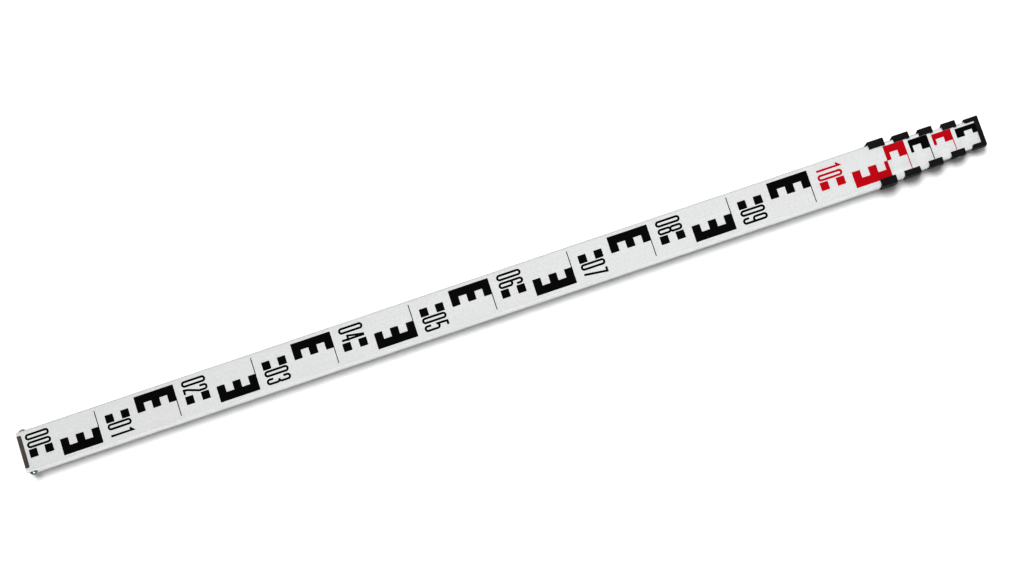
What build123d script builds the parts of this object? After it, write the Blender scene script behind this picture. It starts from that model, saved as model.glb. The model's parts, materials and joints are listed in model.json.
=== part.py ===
from build123d import *
import os

# A telescopic levelling staff of five aluminium tubes, one inside the next, lying on its back.
# X runs along the staff from the foot up to the top cap, Y runs across the graduated front face,
# and Z points out of that face. The origin is the centre of the foot's ground face.
# Section 1 is the outermost and lowest tube, and the last section is the innermost and topmost.
# The staff is closed up, and every lock button is held in, as it is while the sections slide.

# Graduation
section_count = 5
metre = 1000.0  # each section carries the staff up to the next whole metre
line_inset = 4.8  # from a section's last metre line up to the end of its tube
cap_beyond_metre = 0.8  # how far the top cap ends beyond the last metre

# Tubes
first_length = 1094.5  # the foot of the first section to the end of its tube
section_length = 1096.3  # the same on each sliding section
smallest_width = 32.4  # outside the innermost tube
smallest_depth = 10.4
wall = 1.2
running_gap = 1.0  # between one tube and the next, on every side
corner_radius = 2.0

# Seating: each section stands on the block in the foot of the one around it
seat_rise = 28.6
seat_clearance = 0.2
fit_clearance = 0.1  # between a block and the tube that it is fixed in

# Foot
foot_height = 10.0
foot_tab_height = 5.6  # the part of the foot that shows in the notches of the tube
foot_tab_width = 40.5
foot_tab_corner = 1.8
foot_tab_clearance = 0.1
foot_screw_height = 5.8
foot_screw_forward = 3.0  # how far the screws sit in front of the middle of the tube
screw_radius = 2.5
screw_depth = 9.0
screw_hole_clearance = 0.15
screw_head_radius = 4.75
screw_head_height = 3.7
screw_head_rim = 1.3
screw_slot_width = 1.2
screw_slot_length = 5.2
screw_slot_depth = 1.6
buffer_bore = 7.0

# Collars, from the first section's up
lip_lengths = (19.5, 19.5, 17.0, 17.0)
lip_overlaps = (5.7, 4.4, 4.4, 4.4)  # how far the lips reach in over the front face
wing_lengths = (4.6, 3.6, 2.9, 2.2)  # how far the +Y wings reach towards the foot
heel_length = 1.0  # how far the bridge across the back does
lip_beyond = 3.6  # past the end of the tube
lip_side = 3.2  # how far the front half of a collar stands out beyond the sides of its tube
back_side = 1.2  # how far its back half does
collar_front = 2.0
collar_back = 2.0
collar_corner = 1.2
collar_round = 0.7
collar_clearance = 0.25  # round the section that slides through it
scallop_radius = 9.0
scallop_depth = 0.7
scallop_below = 2.6  # from the front of a collar down to its finger scallops

# Rivets that hold the collars and the cap
rivet_radius = 1.6
rivet_head_radius = 3.0
rivet_head_height = 0.8
rivet_setback = 8.0  # from the end of the tube
rivet_inset = 9.0  # from the sides of the tube

# Top cap
cap_plate = 2.1
cap_band = 5.6
cap_arm = 15.8
cap_wing = 1.4  # how much further its sides reach down the tube than its arms do
cap_side = 2.4
cap_face = 1.5
cap_overlap = 2.6

# Lock blocks, buttons and springs in the foot of each sliding section
glide_height = 2.0
glide_proud = 0.6  # beyond the tube's sides, inside the running gap
lock_height = 14.0  # of the button's axis above the foot of its section
block_web = 1.4  # left in front of the button's pocket in the smallest block
button_radius = 4.5
button_dish = 0.5
button_hole_clearance = 0.25
button_flange = 1.1  # how much wider the flange is than the button
button_flange_height = 1.2
button_pressed_proud = 0.3  # beyond its own tube when held in
button_popped_proud = 0.5  # beyond the tube around it when sprung out
button_stop_gap = 0.05
pocket_clearance = 0.2
spring_wire = 0.5
spring_turns = 3.0
spring_inset = 1.0  # from the edge of the flange to the middle of the wire
spring_end_gap = 0.05
pin_radius = 1.6
pin_depth = 5.0
pin_below_top = 5.0

# Cutters
margin = 1.0  # how far a cutter runs on past what it cuts
least_corner = 0.3  # the smallest corner radius that a shrunk tube shape keeps

step = 2 * (wall + running_gap)
button_travel = running_gap + wall + button_popped_proud - button_pressed_proud
button_flange_radius = button_radius + button_flange
pocket_radius = button_flange_radius + pocket_clearance
pocket_depth = smallest_depth - 2 * wall - 2 * fit_clearance - block_web


def width(section):
    """The outside width of a section's tube."""
    return smallest_width + (section_count - section) * step


def depth(section):
    """The outside depth of a section's tube, from front to back."""
    return smallest_depth + (section_count - section) * step


def foot_of(section):
    """Where a section begins along the closed staff."""
    return (section - 1) * seat_rise


def top_of(section):
    """Where a section's tube ends along the closed staff."""
    return foot_of(section) + (first_length if section == 1 else section_length)


def rise(section):
    """How far a section stands above its closed place when the whole staff is drawn out."""
    if section == 1:
        return 0.0
    if section == section_count:
        return section * metre + cap_beyond_metre - (top_of(section) + cap_plate)
    return section * metre + line_inset - top_of(section)


def stroke(section):
    """How far a section slides out of the one around it."""
    return rise(section) - rise(section - 1)


def bar(across, deep, radius, low, high):
    """A solid bar along X with rounded long edges."""
    outline = Plane.YZ * RectangleRounded(across, deep, radius)
    return Pos(low, 0, 0) * extrude(outline, high - low)


def tube_bar(section, grow, low, high):
    """A solid bar with a tube's outside shape, grown or shrunk on every side."""
    radius = max(corner_radius + grow, least_corner)
    return bar(width(section) + 2 * grow, depth(section) + 2 * grow, radius, low, high)


def slab(low, high):
    """A box between two opposite corners."""
    sizes = [b - a for a, b in zip(low, high)]
    middle = [(a + b) / 2 for a, b in zip(low, high)]
    return Pos(*middle) * Box(*sizes)


def upright(radius, x, y, low, high):
    """A cylinder along Z."""
    return Pos(x, y, (low + high) / 2) * Cylinder(radius, high - low)


def crosswise(radius, x, z, low, high):
    """A cylinder along Y."""
    return Pos(x, (low + high) / 2, z) * Rot(90, 0, 0) * Cylinder(radius, high - low)


def back_hole(section, radius, x, y=0.0):
    """The cutter for a round hole through a tube's back wall only."""
    back = -depth(section) / 2
    return upright(radius, x, y, back - margin, back + wall + margin)


def foot_tab(section, clearance):
    """The part of the foot that fills the notches in the front and back of its tube."""
    outline = Rectangle(2 * (foot_tab_height - clearance), foot_tab_width - 2 * clearance)
    outline = fillet(outline.vertices(), foot_tab_corner)
    tab = extrude(outline, depth(section) / 2, both=True)
    half, front = width(section) / 2, depth(section) / 2
    return tab & slab((0, -half, -front), (foot_height, half, front))


def tube(section):
    """One aluminium tube with the holes for its own fixings and for the next section's lock."""
    low = foot_of(section) + (0.0 if section == 1 else glide_height)
    high = top_of(section)
    body = tube_bar(section, 0.0, low, high) - tube_bar(section, -wall, low - margin, high + margin)
    half = width(section) / 2
    if section == 1:
        body -= foot_tab(section, 0.0)
        hole = screw_radius + screw_hole_clearance
        body -= crosswise(hole, foot_screw_height, foot_screw_forward, -half - margin, half + margin)
    else:
        own_hole = button_radius + button_hole_clearance
        body -= back_hole(section, own_hole, foot_of(section) + lock_height)
        body -= crosswise(pin_radius, pin_place(section), 0, -half - margin, half + margin)
    if section < section_count:
        closed = foot_of(section + 1) + lock_height
        for place in (closed, closed + stroke(section + 1)):
            body -= back_hole(section, button_radius + button_hole_clearance, place)
    for y in rivet_places(section):
        body -= back_hole(section, rivet_radius, high - rivet_setback, y)
    return body


def pin_place(section):
    """Where along the staff the pins hold a section's lock block."""
    return foot_of(section) + seat_rise - seat_clearance - pin_below_top


def rivet_places(section):
    """Where across a tube's back its two rivets go."""
    return [side * (width(section) / 2 - rivet_inset) for side in (-1, 1)]


def rivets(section, plate):
    """Two rivets through a collar or the cap and the tube's back wall, with sunk heads."""
    back = -depth(section) / 2
    x = top_of(section) - rivet_setback
    both = []
    for y in rivet_places(section):
        shank = upright(rivet_radius, x, y, back - plate, back + wall)
        head = upright(rivet_head_radius, x, y, back - plate, back - plate + rivet_head_height)
        both.append(shank + head)
    return Compound(children=both)


def foot_plate():
    """The steel foot: a block that closes the tube and shows in its front and back notches."""
    block = tube_bar(1, -wall - fit_clearance, 0.0, foot_height)
    body = block + foot_tab(1, foot_tab_clearance)
    half = width(1) / 2
    for side in (-1, 1):
        ends = sorted((side * half, side * (half - screw_depth - fit_clearance)))
        body -= crosswise(screw_radius, foot_screw_height, foot_screw_forward, *ends)
    return body


def foot_screw(side):
    """A pan-head screw with a crossed recess, through one side of the tube into the foot."""
    dome = screw_head_height - screw_head_rim
    ball = (screw_head_radius**2 + dome**2) / (2 * dome)
    head = upright(screw_head_radius, 0, 0, 0, screw_head_height)
    head &= Pos(0, 0, screw_head_height - ball) * Sphere(ball)
    screw = head + upright(screw_radius, 0, 0, -screw_depth, 0)
    long, wide = screw_slot_length / 2, screw_slot_width / 2
    low, high = screw_head_height - screw_slot_depth, screw_head_height + margin
    screw -= slab((-long, -wide, low), (long, wide, high))
    screw -= slab((-wide, -long, low), (wide, long, high))
    place = Pos(foot_screw_height, side * width(1) / 2, foot_screw_forward)
    return place * Rot(-90 * side, 0, 0) * screw


def foot_buffer():
    """The rubber buffer between the foot and the lock block of section 2."""
    top = seat_rise - seat_clearance
    body = tube_bar(1, -wall - fit_clearance, foot_height, top)
    bore = Plane.YZ * Circle(buffer_bore)
    return body - Pos(foot_height, 0, 0) * extrude(bore, seat_rise)


def clip_block(section, start, end, side_wall, low, high):
    """A block round a tube, from low to high, with rounded corners where it ends towards the top."""
    outer = width(section) / 2 + side_wall
    outline = make_face(Polyline((start, -outer), (end, -outer), (end, outer), (start, outer), close=True))
    outline = fillet(outline.vertices().group_by(Axis.X)[-1], collar_corner)
    return Pos(0, 0, low) * extrude(outline, high - low, dir=(0, 0, 1))


def rounded(block, end):
    """A block with its long outer edges rounded at one end of Z: the first, 0, or the last, -1."""
    edges = block.edges().group_by(Axis.Z)[end].filter_by(Axis.X)
    return fillet(edges, collar_round)


def wedge(corners, low, high):
    """A flat outline drawn up from low to high."""
    return Pos(0, 0, low) * extrude(make_face(Polyline(*corners, close=True)), high - low, dir=(0, 0, 1))


def collar(section):
    """A moulded collar: lips over the front edges, a bridge across the back and, past the end of the
    tube, a guide for the next one. Its wing on the +Y side and its heel at the back reach footwards."""
    half, front = width(section) / 2, depth(section) / 2
    end = top_of(section) + lip_beyond
    start = end - lip_lengths[section - 1]
    tip = start - wing_lengths[section - 1]
    heel = start - heel_length
    back = -front - collar_back
    body = rounded(clip_block(section, start, end, lip_side, 0, front + collar_front), -1)
    body += rounded(clip_block(section, start, end, back_side, back, 0), 0)
    for side in (-1, 1):
        y = side * (half + lip_side + scallop_radius - scallop_depth)
        body -= upright(scallop_radius, (start + end) / 2, y, 0, front + collar_front - scallop_below)
    outer = half + back_side
    body += wedge([(heel, -half), (start, -outer), (start, outer), (heel, half)], back, -front)
    body += wedge([(tip, half), (start, half), (start, half + lip_side)], 0, front)
    window = half - lip_overlaps[section - 1]
    body -= slab((tip - margin, -window, 0), (end + margin, window, front + collar_front + margin))
    body -= tube_bar(section, 0.0, tip - margin, top_of(section))
    body -= tube_bar(section + 1, collar_clearance, top_of(section), end + margin)
    return body - rivets(section, collar_back)


def top_cap():
    """The cap on the innermost tube: an end plate, a band across the front, two arms and a back."""
    section = section_count
    half, front = width(section) / 2, depth(section) / 2
    end = top_of(section) + cap_plate
    start = end - cap_arm
    tip = start - cap_wing
    body = clip_block(section, tip, end, cap_side, -front - cap_face, front + cap_face)
    body = rounded(rounded(body, -1), 0)
    window = half - cap_overlap
    body -= slab((tip - margin, -window, 0), (end - cap_band, window, front + cap_face + margin))
    body -= slab((tip - margin, -half, front), (start, half, front + cap_face + margin))
    body -= tube_bar(section, 0.0, tip - margin, top_of(section))
    return body - rivets(section, cap_face)


def lock_block(section):
    """The moulded block in the foot of a sliding section: its glide, its plug and the button's pocket."""
    foot = foot_of(section)
    top = foot + seat_rise - seat_clearance
    glide = tube_bar(section, glide_proud, foot, foot + glide_height)
    body = glide + tube_bar(section, -wall - fit_clearance, foot + glide_height, top)
    face = -depth(section) / 2 + wall + fit_clearance
    body -= upright(pocket_radius, foot + lock_height, 0, face - margin, face + pocket_depth)
    return body - block_pins(section)


def block_pins(section):
    """Two pins through the sides of the tube into the lock block."""
    half = width(section) / 2
    x = pin_place(section)
    pins = [crosswise(pin_radius, x, 0, *sorted((s * half, s * (half - pin_depth)))) for s in (-1, 1)]
    return Compound(children=pins)


def flange_back(section):
    """The height of the back of the button's flange while the button is held in."""
    return -depth(section) / 2 + wall + button_stop_gap + button_travel


def lock_button(section):
    """A flanged button with a dished face, held in by the tube around it."""
    x = foot_of(section) + lock_height
    face = -depth(section) / 2 - button_pressed_proud
    seat = flange_back(section)
    body = upright(button_radius, x, 0, face, seat)
    body = chamfer(body.edges().group_by(Axis.Z)[0], button_dish)
    body += upright(button_flange_radius, x, 0, seat, seat + button_flange_height)
    ball = button_radius**2 / (2 * button_dish)
    return body - Pos(x, 0, face + button_dish / 2 - ball) * Sphere(ball)


def lock_spring(section):
    """The coil spring between the button's flange and the floor of its pocket."""
    low = flange_back(section) + button_flange_height + spring_end_gap
    high = -depth(section) / 2 + wall + fit_clearance + pocket_depth - spring_end_gap
    coil_radius = button_flange_radius - spring_inset
    height = high - low - spring_wire
    helix = Helix(height / spring_turns, height, coil_radius)
    wire = Plane(helix @ 0, z_dir=helix % 0) * Circle(spring_wire / 2)
    x = foot_of(section) + lock_height
    return Pos(x, 0, low + spring_wire / 2) * sweep(wire, path=helix, is_frenet=True)


pieces = {
    "foot_plate": foot_plate(),
    "foot_buffer": foot_buffer(),
    "foot_screws": Compound(children=[foot_screw(1), foot_screw(-1)]),
    "top_cap": top_cap(),
    "top_cap_rivets": rivets(section_count, cap_face),
}
for section in range(1, section_count + 1):
    pieces[f"section_{section}_tube"] = tube(section)
    if section > 1:
        pieces[f"lock_block_{section}"] = lock_block(section)
        pieces[f"lock_block_{section}_pins"] = block_pins(section)
        pieces[f"lock_button_{section}"] = lock_button(section)
        pieces[f"lock_spring_{section}"] = lock_spring(section)
    if section < section_count:
        pieces[f"collar_{section}"] = collar(section)
        pieces[f"collar_{section}_rivets"] = rivets(section, collar_back)

os.makedirs("parts", exist_ok=True)
for name, piece in pieces.items():
    export_step(piece, f"parts/{name}.step")

for section in range(2, section_count + 1):
    print(f"section {section} slides out {stroke(section):.2f} mm")
print(f"buttons travel {button_travel:.2f} mm")
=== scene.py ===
import json
import math

import bpy
import numpy as np
from mathutils import Matrix, Vector


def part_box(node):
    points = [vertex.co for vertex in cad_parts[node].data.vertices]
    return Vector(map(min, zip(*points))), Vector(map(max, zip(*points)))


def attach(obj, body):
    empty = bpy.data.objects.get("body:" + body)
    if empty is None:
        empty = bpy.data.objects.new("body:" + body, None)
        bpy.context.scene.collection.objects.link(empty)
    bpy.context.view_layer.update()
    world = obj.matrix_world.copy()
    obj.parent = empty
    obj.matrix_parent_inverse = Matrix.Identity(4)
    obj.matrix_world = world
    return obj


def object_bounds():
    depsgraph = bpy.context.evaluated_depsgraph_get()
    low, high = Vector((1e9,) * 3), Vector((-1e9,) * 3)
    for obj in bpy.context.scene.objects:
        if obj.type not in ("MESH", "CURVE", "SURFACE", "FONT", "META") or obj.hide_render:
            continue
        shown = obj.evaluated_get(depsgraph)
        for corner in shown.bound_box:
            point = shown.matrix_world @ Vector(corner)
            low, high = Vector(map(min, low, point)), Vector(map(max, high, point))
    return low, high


# A closed telescopic levelling staff, lying on its back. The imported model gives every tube, collar,
# lock and fixing. This script prints the graduation on the tubes, gives every piece its finish, and
# sets the floor, the lights and the camera. X runs up the staff and Z points out of its front face.

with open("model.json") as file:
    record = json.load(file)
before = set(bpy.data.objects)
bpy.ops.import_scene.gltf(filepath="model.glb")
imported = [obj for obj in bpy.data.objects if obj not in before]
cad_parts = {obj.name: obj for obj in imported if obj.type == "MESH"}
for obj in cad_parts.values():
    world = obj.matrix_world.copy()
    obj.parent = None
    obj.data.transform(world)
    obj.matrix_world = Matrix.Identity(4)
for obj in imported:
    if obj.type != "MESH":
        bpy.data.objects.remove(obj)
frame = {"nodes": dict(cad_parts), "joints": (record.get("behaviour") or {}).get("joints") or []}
cad_low, cad_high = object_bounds()

MM = 0.001
SECTIONS = (1, 2, 3, 4, 5)

# Graduation, in millimetres along the staff
DECIMETRE = 100.0
CENTIMETRE = 10.0
PRINT_MARGIN = 5.0  # from the sides of a tube to the graduation
LINE_THICKNESS = 1.0
DIGIT_START = 9.7  # above the foot of its decimetre
DIGIT_HEIGHT = 30.4
DIGIT_STROKE = 2.5
DIGIT_WIDTH = 0.395  # as a share of the graduation's half width
DIGIT_GAP = 0.10
DIGIT_INSET = 0.04  # from the outer edge of the graduation
INK_ABOVE = 0.035
INK_BELOW = 0.03
INK_LAYER = 0.004  # between strokes that cross
SHORTEST_MARK = 0.1  # a mark cut shorter than this at a section's end is left out
LEAST_DECIMETRE = 0.05  # the least share of a decimetre that is printed at a section's end
ARC_STEPS = 14
SHARPEST_TURN = 0.4  # the least cosine of half a turn that a stroke's edges follow
WAIST = 0.52  # how high the loops of 3 and 8 meet, as a share of the numeral's height
BOWL = 0.56  # how high the bowl of 6 reaches

# Camera
LENS = 85.0
AIM = (0.6243, -0.001, 0.014)
DISTANCE = 2.885
TILT = math.radians(9.5)  # towards the lower edge
LEAN = math.radians(2.4)  # towards the top cap
ROLL = math.radians(18.64)
SENSOR = 36.0
NEAREST, FARTHEST = 0.01, 100.0

# Light
HORIZON = 0.20
OVERHEAD = 0.05
HORIZON_TOP = 0.15  # the upward share of a direction where the horizon's light starts to fade
OVERHEAD_START = 0.85  # and where it has faded
BACKDROP = 1.0
KEY = 2.25
KEY_TOWARDS = (0.02, -0.27, -1.0)
KEY_SOFTNESS = 28.0  # degrees
FILL = 2.4
FILL_TOWARDS = (0.0, 1.0, -0.08)
FILL_SOFTNESS = 20.0  # degrees
WASH = 4.0
WASH_PLACE = (2.4, 0.3, 1.2)
WASH_SIZE = 0.9
FLOOR_REACH = 12.0


# ---------------------------------------------------------------- places from the frame


def tube_box(section):
    """The lowest and highest corners of a section's tube, in millimetres."""
    low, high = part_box(f"section_{section}_tube")
    return np.array(low) / MM, np.array(high) / MM


def rise(section):
    """How far a section stands above its closed place when the staff is drawn out, in millimetres."""
    slides = {joint["name"]: joint["range_m"][1] for joint in frame["joints"]}
    return sum(slides[f"section_{lower}_slide"] for lower in range(2, section + 1)) / MM


def linked(name, data, place=None):
    """An object of some data in the scene, at the origin or where a matrix puts it."""
    made = bpy.data.objects.new(name, data)
    bpy.context.scene.collection.objects.link(made)
    if place is not None:
        made.matrix_world = place
    return made


# ---------------------------------------------------------------- surfaces


class Sheet:
    """Points and faces gathered from several surfaces into one mesh."""

    def __init__(self):
        self.points, self.faces, self.count = [], [], 0

    def add(self, points, faces):
        self.points.append(np.asarray(points, float).reshape(-1, 3))
        self.faces += [[corner + self.count for corner in face] for face in faces]
        self.count += len(self.points[-1])

    def mesh(self, name, material):
        """One object of the gathered points, in metres, with its place in its mesh."""
        data = bpy.data.meshes.new(name)
        data.from_pydata((np.concatenate(self.points) * MM).tolist(), [], self.faces)
        data.update()
        data.materials.append(material)
        return linked(name, data)


def ring_faces(rings, corners, loop):
    """Quads between neighbouring rings of points, and an end face on each open end."""
    ring = np.arange(rings if loop else rings - 1)[:, None]
    side = np.arange(corners)[None, :]
    after, beside = (ring + 1) % rings, (side + 1) % corners
    quads = np.stack(
        [
            ring * corners + side,
            ring * corners + beside,
            after * corners + beside,
            after * corners + side,
        ],
        axis=-1,
    )
    faces = quads.reshape(-1, 4).tolist()
    if not loop:
        first = np.arange(corners)[::-1]
        faces += [first.tolist(), (np.arange(corners) + (rings - 1) * corners).tolist()]
    return faces


def stroke(path, across, low, high, loop=False):
    """A flat bar carried along a path: each point is pushed half the bar's width to both sides along
    the bisector of its two runs, divided by the cosine of half the turn, so the edges stay parallel."""
    path = np.asarray(path, float)
    before = path - np.roll(path, 1, axis=0)
    after = np.roll(path, -1, axis=0) - path
    if not loop:
        before[0], after[-1] = after[0], before[-1]
    before /= np.linalg.norm(before, axis=1, keepdims=True)
    after /= np.linalg.norm(after, axis=1, keepdims=True)
    along = before + after
    along /= np.linalg.norm(along, axis=1, keepdims=True)
    reach = across / 2 / np.clip((along * after).sum(1), SHARPEST_TURN, 1)
    left = np.stack([-along[:, 1], along[:, 0]], axis=1) * reach[:, None]
    corners = [(path + left, high), (path - left, high), (path - left, low), (path + left, low)]
    rings = np.stack([np.column_stack([xy, np.full(len(xy), z)]) for xy, z in corners], axis=1)
    return rings, [face[::-1] for face in ring_faces(len(path), 4, loop)]


def raised(outline, low, high):
    """A flat outline, anticlockwise, drawn up from low to high, with a face on its top and bottom."""
    outline = np.asarray(outline, float)
    count = len(outline)
    points = np.concatenate([np.column_stack([outline, np.full(count, z)]) for z in (low, high)])
    return points, ring_faces(2, count, False)


def arc(middle_x, middle_y, reach_x, reach_y, start, end):
    """Points on an ellipse from one angle to another, in quarter turns anticlockwise from the right."""
    turn = np.linspace(start, end, ARC_STEPS) * math.pi / 2
    return np.column_stack([middle_x + reach_x * np.cos(turn), middle_y + reach_y * np.sin(turn)])


def joined(*runs):
    """Several runs of points end to end, with doubled points left out."""
    points = np.concatenate([np.asarray(run, float).reshape(-1, 2) for run in runs])
    apart = np.linalg.norm(np.diff(points, axis=0), axis=1) > 1e-6
    return points[np.concatenate([[True], apart])]


# ---------------------------------------------------------------- numerals


def loop_path(width, low, high):
    """A closed upright loop: two half circles joined by two straight sides."""
    round_end = width / 2
    top = arc(round_end, high - round_end, round_end, round_end, 0, 2)
    bottom = arc(round_end, low + round_end, round_end, round_end, 2, 4)
    return joined(top, bottom)


def numeral(digit, width, height):
    """The middle lines of one narrow numeral, as (points, is it a loop), from its lower left corner."""
    half = width / 2
    waist = WAIST * height
    if digit == 0:
        return [(loop_path(width, 0, height), True)]
    if digit == 1:
        stem = 0.72 * width
        return [([(stem, 0), (stem, height), (0.12 * width, 0.87 * height)], False)]
    if digit == 2:
        head = joined(arc(half, height - half, half, half, 2, 0), [(width, 0.66 * height)])
        foot = [(0.1 * width, 0.16 * height), (0, 0), (width, 0)]
        start = [(0, height - 1.5 * width)]
        return [(joined(start, head, foot), False)]
    if digit == 3:
        upper = joined([(0, height - 1.4 * width)], arc(half, height - half, half, half, 2, 0))
        upper = joined(upper, arc(half, waist + half, half, half, 0, -0.9), [(0.35 * width, waist)])
        lower = joined([(0.35 * width, waist)], arc(half, waist - half, half, half, 0.9, 0))
        lower = joined(lower, arc(half, half, half, half, 0, -2), [(0, 1.4 * width)])
        return [(upper, False), (lower, False)]
    if digit == 4:
        slant = [(0.68 * width, height), (0, 0.28 * height), (1.16 * width, 0.28 * height)]
        return [(slant, False), ([(0.82 * width, height), (0.82 * width, 0)], False)]
    if digit == 5:
        hook = [(0.94 * width, height), (0.06 * width, height), (0, 0.56 * height)]
        bowl = joined(arc(half, 0.62 * height - half, half, half, 1.7, 0))
        return [(joined(hook, bowl, arc(half, half, half, half, 0, -2), [(0, 1.4 * width)]), False)]
    if digit in (6, 9):
        bowl = loop_path(width, 0, BOWL * height)
        crown = arc(half, height - half, half, half, 2, 0)
        back = joined([(0, half)], crown, [(width, height - 1.3 * width)])
        paths = [(bowl, True), (back, False)]
        if digit == 6:
            return paths
        return [(np.array([width, height]) - path, loop) for path, loop in paths]
    if digit == 7:
        return [([(0, height), (0.97 * width, height), (0.3 * width, 0)], False)]
    return [(loop_path(width, waist, height), True), (loop_path(width, 0, waist), True)]


# ---------------------------------------------------------------- the printed graduation


class Graduation:
    """The marks on one section. Places along the staff are readings, in millimetres from its foot."""

    def __init__(self, section):
        low, high = tube_box(section)
        self.section = section
        self.lift = rise(section)
        self.face = high[2]
        self.half = high[1] - PRINT_MARGIN
        self.end = high[0] + self.lift
        if section == 1:
            self.start = 0.0
        else:
            self.start = tube_box(section - 1)[1][0] + rise(section - 1)
        self.inks = {"black": Sheet(), "red": Sheet()}

    def block(self, ink, corners):
        """A filled outline, given as readings and places across, cut off at the section's ends."""
        outline = np.array(corners, float)
        outline[:, 0] = np.clip(outline[:, 0], self.start, self.end) - self.lift
        if np.ptp(outline[:, 0]) < SHORTEST_MARK:
            return
        turning = outline[:, 0] * np.roll(outline[:, 1], -1) - np.roll(outline[:, 0], -1) * outline[:, 1]
        if turning.sum() < 0:
            outline = outline[::-1]
        self.inks[ink].add(*raised(outline, self.face - INK_BELOW, self.face + INK_ABOVE))

    def numerals(self, ink, reading, number, upper):
        """Two narrow numerals side by side, upright when the staff stands, the first one at +Y."""
        wide = DIGIT_WIDTH * self.half
        for place, digit in enumerate(divmod(number, 10)):
            left = upper - place * (wide + DIGIT_GAP * self.half) - DIGIT_STROKE / 2
            paths = numeral(digit, wide - DIGIT_STROKE, DIGIT_HEIGHT - DIGIT_STROKE)
            for layer, (path, loop) in enumerate(paths):
                path = np.asarray(path, float)
                along = reading + DIGIT_START + DIGIT_STROKE / 2 - self.lift + path[:, 1]
                line = np.column_stack([along, left - path[:, 0]])
                top = self.face + INK_ABOVE + layer * INK_LAYER
                self.inks[ink].add(*stroke(line, DIGIT_STROKE, self.face - INK_BELOW, top, loop))

    def decimetre(self, number):
        """One decimetre: two squares, an E of three teeth on a spine, a thin line and two numerals.
        The E is on the -Y half in even decimetres and on the +Y half in odd ones."""
        ink = "black" if number // 10 % 2 == 0 else "red"
        side = -1 if number % 2 == 0 else 1
        zero = number * DECIMETRE
        tooth, spine = side * self.half / 2, side * self.half
        steps = [zero + CENTIMETRE * count for count in range(11)]
        for foot in (1, 3):
            low, high = steps[foot], steps[foot + 1]
            self.block(ink, [(low, 0), (high, 0), (high, tooth), (low, tooth)])
        teeth = [(steps[5], spine), (steps[10], spine), (steps[10], 0), (steps[9], 0), (steps[9], tooth)]
        teeth += [(steps[8], tooth), (steps[8], 0), (steps[7], 0), (steps[7], tooth)]
        teeth += [(steps[6], tooth), (steps[6], 0), (steps[5], 0)]
        self.block(ink, teeth)
        before = steps[10] - LINE_THICKNESS
        self.block(ink, [(before, 0), (steps[10], 0), (steps[10], -spine), (before, -spine)])
        if zero >= self.start - CENTIMETRE and zero + 4 * CENTIMETRE < self.end:
            spread = (2 * DIGIT_WIDTH + DIGIT_GAP) * self.half
            inset = DIGIT_INSET * self.half
            upper = self.half - inset if side < 0 else spread - self.half + inset
            self.numerals(ink, zero, number, upper)

    def print_on(self, finishes):
        """Every decimetre that shows when the staff is drawn out, as one piece for each ink."""
        first = int(self.start // DECIMETRE)
        last = int(math.ceil(self.end / DECIMETRE - LEAST_DECIMETRE))
        for number in range(first, last):
            self.decimetre(number)
        for ink, sheet in self.inks.items():
            if sheet.count:
                piece = sheet.mesh(f"section_{self.section}_{ink}_print", finishes[ink])
                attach(piece, f"section_{self.section}")


# ---------------------------------------------------------------- shader sums


class Wire:
    """One socket in a tree of nodes, with arithmetic that adds Math nodes."""

    def __init__(self, nodes, socket):
        self.nodes, self.socket = nodes, socket

    def sum(self, operation, first, second):
        return self.nodes.node("ShaderNodeMath", {"operation": operation}, {0: first, 1: second})

    def __add__(self, other):
        return self.sum("ADD", self, other)

    def __sub__(self, other):
        return self.sum("SUBTRACT", self, other)

    def __rsub__(self, other):
        return self.sum("SUBTRACT", other, self)

    def __mul__(self, other):
        return self.sum("MULTIPLY", self, other)

    __radd__, __rmul__ = __add__, __mul__

    def kept(self):
        """The same value held between nought and one."""
        return self.nodes.node("ShaderNodeClamp", {}, {"Value": self, "Min": 0.0, "Max": 1.0})


class Nodes:
    """The nodes of a material or of the surroundings, and the one whose sockets they feed."""

    def __init__(self, owner, fed):
        owner.use_nodes = True
        self.tree = owner.node_tree
        self.shader = next(node for node in self.tree.nodes if node.type == fed)

    def node(self, kind, settings, sockets, output=0):
        """A node with its settings put in first, then values or wires into its sockets."""
        made = self.tree.nodes.new(kind)
        for name, value in settings.items():
            if name == "stops":
                self.stops(made.color_ramp, value)
            else:
                setattr(made, name, value)
        for name, value in sockets.items():
            if isinstance(value, Wire):
                self.tree.links.new(value.socket, made.inputs[name])
            else:
                made.inputs[name].default_value = value
        return Wire(self, made.outputs[output])

    @staticmethod
    def stops(ramp, values):
        """A ramp's stops, as (place, grey)."""
        while len(ramp.elements) < len(values):
            ramp.elements.new(0.5)
        for element, (place, grey) in zip(ramp.elements, values):
            element.position, element.color = place, (grey, grey, grey, 1.0)

    def set(self, socket, value):
        if isinstance(value, Wire):
            self.tree.links.new(value.socket, self.shader.inputs[socket])
        else:
            self.shader.inputs[socket].default_value = value


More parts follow.
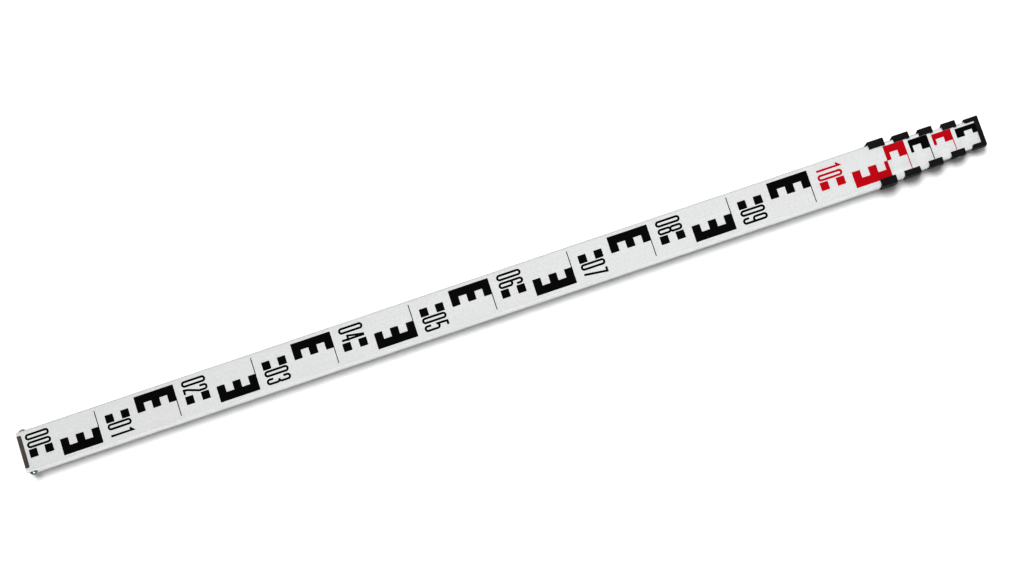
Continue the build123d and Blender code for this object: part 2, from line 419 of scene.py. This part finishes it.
class Paint(Nodes):
    """A material under construction: its principled shader and the nodes that feed it."""

    def __init__(self, name, colour, roughness, metallic=0.0, **settings):
        self.material = bpy.data.materials.new(name)
        super().__init__(self.material, "BSDF_PRINCIPLED")
        self.set("Base Color", (*colour, 1.0))
        self.set("Roughness", roughness)
        self.set("Metallic", metallic)
        for socket, value in settings.items():
            self.set(socket.replace("_", " "), value)
        self.place = self.node("ShaderNodeTexCoord", {}, {}, "Object")

    def stretched(self, x=1.0, y=1.0, z=1.0):
        """Object coordinates with each axis scaled by itself."""
        return self.node("ShaderNodeMapping", {}, {"Vector": self.place, "Scale": (x, y, z)})

    def noise(self, scale, detail=2.0, rough=0.5, place=None):
        """A cloudy value, in cycles to a metre of its place."""
        sockets = {"Vector": place or self.place, "Scale": scale, "Detail": detail, "Roughness": rough}
        return self.node("ShaderNodeTexNoise", {}, sockets, "Fac")

    def ramp(self, value, *stops):
        return self.node("ShaderNodeValToRGB", {"stops": stops}, {"Fac": value}, "Color")

    def tint(self, factor, first, second):
        """A colour between two colours."""
        sockets = {0: factor, 6: (*first, 1.0), 7: (*second, 1.0)}
        return self.node("ShaderNodeMix", {"data_type": "RGBA"}, sockets, 2)

    def shaded(self, colour, grey):
        """A colour wire multiplied by a grey wire."""
        settings = {"data_type": "RGBA", "blend_type": "MULTIPLY"}
        return self.node("ShaderNodeMix", settings, {0: 1.0, 6: colour, 7: grey}, 2)

    def bump(self, height, strength, distance):
        sockets = {"Height": height, "Strength": strength, "Distance": distance}
        self.set("Normal", self.node("ShaderNodeBump", {}, sockets, "Normal"))


# ---------------------------------------------------------------- finishes


def anodised_aluminium(name, wear):
    """Satin anodised extrusion: a fine speckle, a coarser mottle, faint draw lines along the staff, a
    slow change from cool to warm, and long rubbed streaks where one tube slides in another."""
    paint = Paint(name, (0.52, 0.53, 0.53), 0.55, metallic=0.15)
    speckle = paint.noise(1500.0, 3.0, 0.65)
    cloud = paint.noise(9.0, 2.0)
    draw = paint.noise(1.0, 3.0, 0.6, paint.stretched(3.0, 1400.0, 1400.0))
    streak = paint.noise(1.0, 2.0, 0.5, paint.stretched(2.2, 420.0, 420.0))
    rubbed = paint.ramp(streak, (0.58, 0.0), (0.72, 1.0))
    warm = paint.tint(cloud, (0.50, 0.512, 0.518), (0.535, 0.534, 0.526))
    mottle = paint.noise(420.0, 3.0, 0.75)
    grey = 0.66 + speckle * 0.22 + mottle * 0.36 + draw * 0.06 + rubbed * (0.05 * wear)
    paint.set("Base Color", paint.shaded(warm, grey))
    paint.set("Roughness", (0.46 + speckle * 0.16 + cloud * 0.06 - rubbed * (0.12 * wear)).kept())
    paint.bump(speckle * 0.6 + draw * 0.4, 0.12, 0.00015)
    return paint.material


def black_plastic():
    """Moulded black plastic: spark-eroded grain, a slightly shinier patchiness and pale scuffs."""
    paint = Paint("black_plastic", (0.011, 0.011, 0.011), 0.45, Specular_IOR_Level=0.08)
    grain = paint.noise(2600.0, 2.0, 0.6)
    patch = paint.noise(45.0, 3.0)
    rub = paint.noise(1.0, 4.0, 0.6, paint.stretched(260.0, 900.0, 500.0))
    scuff = paint.ramp(rub, (0.66, 0.0), (0.78, 1.0))
    paint.set("Base Color", paint.tint(scuff, (0.0042, 0.0042, 0.004), (0.016, 0.016, 0.016)))
    paint.set("Roughness", (0.32 + grain * 0.14 + patch * 0.16 + scuff * 0.12).kept())
    paint.bump(grain, 0.25, 0.00012)
    return paint.material


def dark_steel():
    """Oiled dark steel: mottled brown and grey, with brighter scratches from standing on stone."""
    paint = Paint("foot_steel", (0.085, 0.078, 0.070), 0.5, metallic=0.7)
    mottle = paint.noise(260.0, 5.0, 0.65)
    scrape = paint.noise(1.0, 3.0, 0.6, paint.stretched(900.0, 90.0, 900.0))
    scratch = paint.ramp(scrape, (0.60, 0.0), (0.74, 1.0))
    base = paint.tint(mottle, (0.032, 0.026, 0.021), (0.078, 0.068, 0.060))
    paint.set("Base Color", paint.shaded(base, 0.85 + scratch * 0.55))
    paint.set("Roughness", (0.38 + mottle * 0.3 - scratch * 0.1).kept())
    paint.bump(mottle + scratch * 0.4, 0.35, 0.0002)
    return paint.material


def zinc_with_painted_shade():
    """Zinc plate whose colour is darkened to a deep blue grey, which is painted shade and a painted dark
    reflection on the screws. Under it is the real blue cast of the plating, clouding from place to place,
    and fine brushing.
    """
    paint = Paint("zinc_with_painted_shade", (0.56, 0.62, 0.68), 0.28, metallic=1.0)
    cloud = paint.noise(380.0, 4.0)
    fine = paint.noise(2400.0, 2.0)
    # The dark range of this colour is painted shade and a painted dark reflection, far darker than bright
    # zinc's own colour; only the blue cast is the plating's.
    paint.set("Base Color", paint.tint(cloud, (0.06, 0.085, 0.11), (0.22, 0.26, 0.29)))
    paint.set("Roughness", (0.2 + cloud * 0.12 + fine * 0.12).kept())
    paint.bump(fine, 0.15, 0.00008)
    return paint.material


def turned_metal(name, dark, light, roughness):
    """Plain drawn or turned metal: a fine grain and a cloudy change of tone."""
    paint = Paint(name, light, roughness, metallic=0.95)
    fine = paint.noise(3000.0, 3.0, 0.6)
    cloud = paint.noise(300.0, 3.0)
    paint.set("Base Color", paint.tint(cloud, dark, light))
    paint.set("Roughness", (roughness - 0.08 + fine * 0.16).kept())
    paint.bump(fine, 0.12, 0.00006)
    return paint.material


def moulded(name, dark, light, roughness, grain_size):
    """A moulded or rubbery finish: an even grain and a faint mottling."""
    paint = Paint(name, light, roughness)
    grain = paint.noise(grain_size, 3.0, 0.6)
    paint.set("Base Color", paint.tint(paint.noise(90.0, 3.0), dark, light))
    paint.set("Roughness", (roughness - 0.1 + grain * 0.2).kept())
    paint.bump(grain, 0.3, 0.00012)
    return paint.material


def printing_ink(name, deep, thin):
    """Screen-printed ink: nearly even, a touch thinner in places, with a fine orange-peel surface."""
    paint = Paint(name, deep, 0.5, Specular_IOR_Level=0.03)
    thinness = paint.ramp(paint.noise(700.0, 4.0, 0.7), (0.55, 0.0), (0.85, 1.0))
    peel = paint.noise(1800.0, 2.0)
    paint.set("Base Color", paint.tint(thinness, deep, thin))
    paint.set("Roughness", (0.42 + peel * 0.16).kept())
    paint.bump(peel, 0.12, 0.00006)
    return paint.material


def give(finish, nodes):
    """One finish on several nodes of the frame."""
    for name in nodes:
        data = frame["nodes"][name].data
        data.materials.clear()
        data.materials.append(finish)


def dress_frame():
    """The finish of every node that is shown as the frame made it."""
    names = sorted(frame["nodes"])
    for section in SECTIONS:
        finish = anodised_aluminium(f"anodised_tube_{section}", 0.3 if section == 1 else 1.0)
        give(finish, [f"section_{section}_tube"])
    collars = [name for name in names if name.startswith("collar") and "rivets" not in name]
    give(black_plastic(), collars + ["top_cap"])
    give(dark_steel(), ["foot_plate"])
    give(zinc_with_painted_shade(), ["foot_screws"])
    rivet = turned_metal("rivet_metal", (0.46, 0.46, 0.47), (0.66, 0.66, 0.66), 0.34)
    give(rivet, [name for name in names if name.endswith(("_rivets", "_pins"))])
    button = turned_metal("button_metal", (0.58, 0.57, 0.55), (0.74, 0.73, 0.71), 0.24)
    give(button, [name for name in names if name.startswith("lock_button")])
    spring = turned_metal("spring_wire", (0.30, 0.30, 0.31), (0.50, 0.50, 0.51), 0.3)
    give(spring, [name for name in names if name.startswith("lock_spring")])
    rubber = moulded("buffer_rubber", (0.012, 0.012, 0.012), (0.028, 0.028, 0.028), 0.8, 900.0)
    give(rubber, ["foot_buffer"])
    block = moulded("lock_block_plastic", (0.10, 0.10, 0.105), (0.15, 0.15, 0.155), 0.55, 2200.0)
    blocks = [name for name in names if name.startswith("lock_block") and not name.endswith("_pins")]
    give(block, blocks)


# ---------------------------------------------------------------- surroundings


def floor():
    """A wide pale floor just under the lowest collar."""
    reach, height = FLOOR_REACH / MM, cad_low[2] / MM
    corners = [(-reach, -reach), (reach, -reach), (reach, reach), (-reach, reach)]
    sheet = Sheet()
    sheet.add([(x, y, height) for x, y in corners], [[0, 1, 2, 3]])
    paint = Paint("pale_floor", (0.93, 0.93, 0.93), 0.9)
    paint.set("Base Color", paint.tint(paint.noise(6.0, 2.0), (0.925, 0.925, 0.925), (0.935, 0.935, 0.935)))
    sheet.mesh("floor", paint.material)


def surroundings():
    """Pale surroundings that light the staff from the horizon more than from overhead, and that are
    white where they are seen themselves."""
    world = bpy.data.worlds.new("studio")
    bpy.context.scene.world = world
    studio = Nodes(world, "BACKGROUND")
    studio.set("Color", (1.0, 1.0, 1.0, 1.0))
    direction = studio.node("ShaderNodeTexCoord", {}, {}, "Generated")
    upward = studio.node("ShaderNodeSeparateXYZ", {}, {0: direction}, "Z")
    span = {"From Min": HORIZON_TOP, "From Max": OVERHEAD_START, "To Min": HORIZON, "To Max": OVERHEAD}
    glow = studio.node("ShaderNodeMapRange", {}, {"Value": upward, **span})
    seen = studio.node("ShaderNodeLightPath", {}, {}, "Is Camera Ray")
    studio.set("Strength", studio.node("ShaderNodeMix", {}, {0: seen, 2: glow, 3: BACKDROP}))


def light(name, kind, towards, place=(0.0, 0.0, 0.0), **settings):
    """A light of one kind at a place, turned to shine along a direction."""
    data = bpy.data.lights.new(name, kind)
    for setting, value in settings.items():
        setattr(data, setting, value)
    turn = Vector(towards).to_track_quat("-Z", "Y").to_matrix().to_4x4()
    linked(name, data, Matrix.Translation(place) @ turn)


def lights():
    """A soft key from above and beyond the upper edge, a low fill on the lower side, a weak wash from
    beyond the top cap, and the tone of the picture."""
    surroundings()
    light("key", "SUN", KEY_TOWARDS, energy=KEY, angle=math.radians(KEY_SOFTNESS))
    light("fill", "SUN", FILL_TOWARDS, energy=FILL, angle=math.radians(FILL_SOFTNESS))
    to_cap = Vector(cad_high) - Vector(WASH_PLACE)
    light("wash", "AREA", to_cap, WASH_PLACE, energy=WASH, size=WASH_SIZE)
    view = bpy.context.scene.view_settings
    view.view_transform, view.look = "Standard", "High Contrast"


def camera():
    """A camera above the staff, tilted, leaned and rolled about the point it looks at."""
    turn = Matrix.Rotation(TILT, 4, "X") @ Matrix.Rotation(LEAN, 4, "Y") @ Matrix.Rotation(-ROLL, 4, "Z")
    data = bpy.data.cameras.new("camera")
    data.lens, data.sensor_width = LENS, SENSOR
    data.clip_start, data.clip_end = NEAREST, FARTHEST
    place = Matrix.Translation(AIM) @ turn @ Matrix.Translation((0.0, 0.0, DISTANCE))
    bpy.context.scene.camera = linked("camera", data, place)


inks = {
    "black": printing_ink("black_ink", (0.0022, 0.0022, 0.002), (0.006, 0.006, 0.006)),
    "red": printing_ink("red_ink", (0.43, 0.0020, 0.013), (0.48, 0.006, 0.020)),
}
dress_frame()
for section in SECTIONS:
    Graduation(section).print_on(inks)
floor()
lights()
camera()
